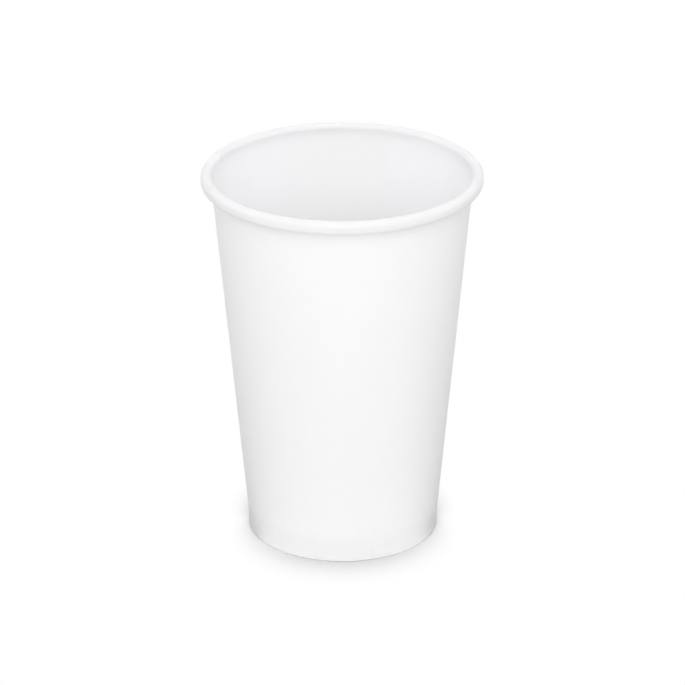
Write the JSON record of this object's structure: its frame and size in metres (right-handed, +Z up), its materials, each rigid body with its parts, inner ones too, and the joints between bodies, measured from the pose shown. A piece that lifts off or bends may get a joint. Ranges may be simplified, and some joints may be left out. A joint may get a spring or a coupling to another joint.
{
  "type": "paper coffee cup",
  "caption": "Single-wall paper cup: tapered, lapped sidewall with a rolled rim and folded foot, and a recessed base disc held in the foot.",
  "frame": {"origin": "centre of the foot, on the surface that the cup stands on", "axes": "+Z up along the cup's axis, towards the mouth; -Y towards the front; the side seam is at the left, behind -X"},
  "size_m": [0.08, 0.08, 0.11],
  "materials": {
    "sidewall_board": "satin",
    "base_board": "satin"
  },
  "bodies": {
    "root": {"sidewall": "sidewall_board", "base_disc": "base_board"}
  },
  "joints": []
}
